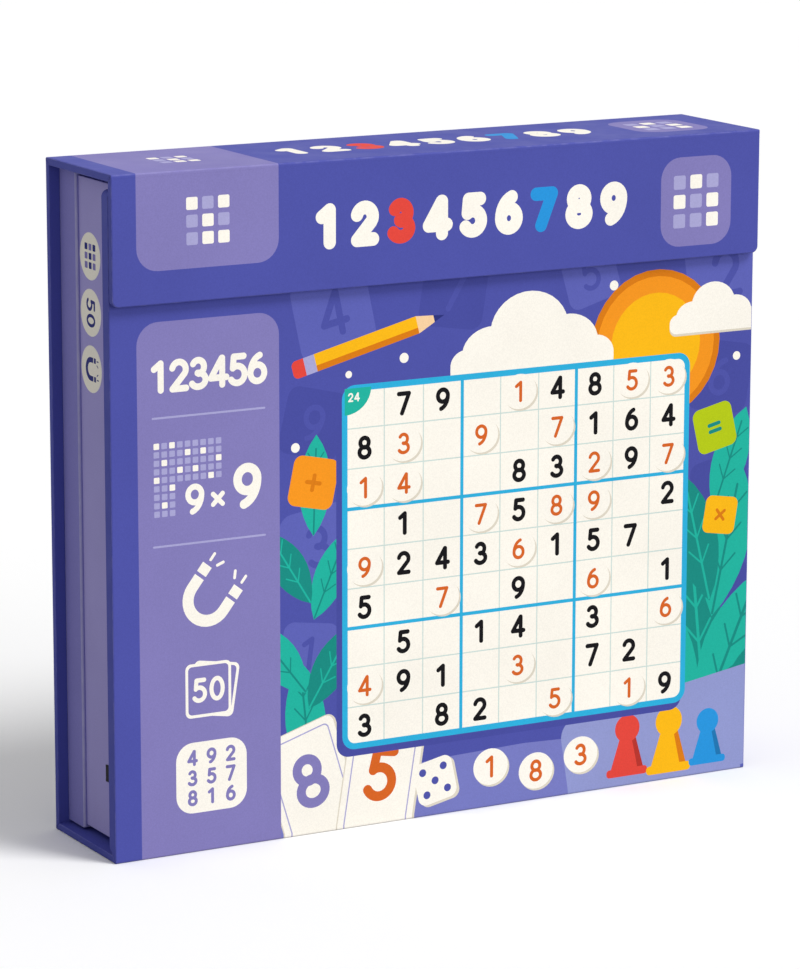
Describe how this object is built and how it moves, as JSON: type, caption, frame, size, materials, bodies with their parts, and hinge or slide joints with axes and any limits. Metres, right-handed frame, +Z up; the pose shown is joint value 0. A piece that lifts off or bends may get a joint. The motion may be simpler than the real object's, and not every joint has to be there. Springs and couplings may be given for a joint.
{
  "type": "magnetic sudoku board in a book-style case",
  "caption": "Book-style rigid case whose folding cover holds a steel-backed sudoku board, with number discs and puzzle cards in an inner tray and a magnetic closing flap.",
  "frame": {"origin": "on the surface that the case stands on, under the middle of its outer box", "axes": "+X across the front to the right, +Y from the flap to the back board, +Z up"},
  "size_m": [0.259, 0.0528, 0.24],
  "materials": {
    "case_paper": "satin",
    "lining_paper": "matte",
    "play_paper": "satin",
    "greyboard": "matte",
    "tray_paper": "satin",
    "insert_board": "matte",
    "card": "satin",
    "leaflet": "matte",
    "game_sheet": "satin",
    "ribbon": "satin",
    "disc": "satin",
    "steel": "satin",
    "magnet": "satin"
  },
  "bodies": {
    "bottom_spine": {"bottom_spine_core": "greyboard", "bottom_spine_wrap": "case_paper", "bottom_spine_liner": "lining_paper"},
    "back_case": {"back_core": "greyboard", "back_wrap": "case_paper", "back_liner": "lining_paper", "base_tray_floor": "greyboard", "base_tray_walls": "greyboard", "base_tray_wrap": "tray_paper", "inner_tray_floor": "greyboard", "inner_tray_walls": "greyboard", "inner_tray_wrap": "tray_paper", "inner_tray_lining": "lining_paper", "disc_rail": "insert_board", "trough_dividers": "insert_board", "disc_shelf": "insert_board", "shelf_ledges": "greyboard", "card_guides": "insert_board", "puzzle_cards": "card", "rules_leaflet": "leaflet", "second_game_sheet": "game_sheet", "lift_ribbon": "ribbon", "discs_1": "disc", "discs_2": "disc", "discs_3": "disc", "discs_4": "disc", "discs_5": "disc", "discs_6": "disc", "discs_7": "disc", "discs_8": "disc", "discs_9": "disc", "discs_times": "disc", "discs_equals": "disc"},
    "front_cover": {"cover_core": "greyboard", "cover_wrap": "case_paper", "cover_backing": "greyboard", "steel_sheet": "steel", "play_sheet": "play_paper", "cover_magnets": "magnet", "board_card": "card", "board_discs": "disc"},
    "top_spine": {"top_spine_core": "greyboard", "top_spine_wrap": "case_paper", "top_spine_liner": "lining_paper"},
    "flap": {"flap_core": "greyboard", "flap_wrap": "case_paper", "flap_liner": "lining_paper", "flap_magnets": "magnet"}
  },
  "joints": [
    {"name": "back_fold", "type": "hinge", "parent": "bottom_spine", "child": "back_case", "pos_m": [0, 0.0264, 0], "axis": [-1, 0, 0], "range_deg": [0, 90]},
    {"name": "cover_fold", "type": "hinge", "parent": "bottom_spine", "child": "front_cover", "pos_m": [0, -0.0235, 0], "axis": [1, 0, 0], "range_deg": [0, 90]},
    {"name": "top_spine_fold", "type": "hinge", "parent": "back_case", "child": "top_spine", "pos_m": [0, 0.0264, 0.24], "axis": [-1, 0, 0], "range_deg": [0, 90]},
    {"name": "flap_fold", "type": "hinge", "parent": "top_spine", "child": "flap", "pos_m": [0, -0.0264, 0.24], "axis": [-1, 0, 0], "range_deg": [0, 90]}
  ]
}
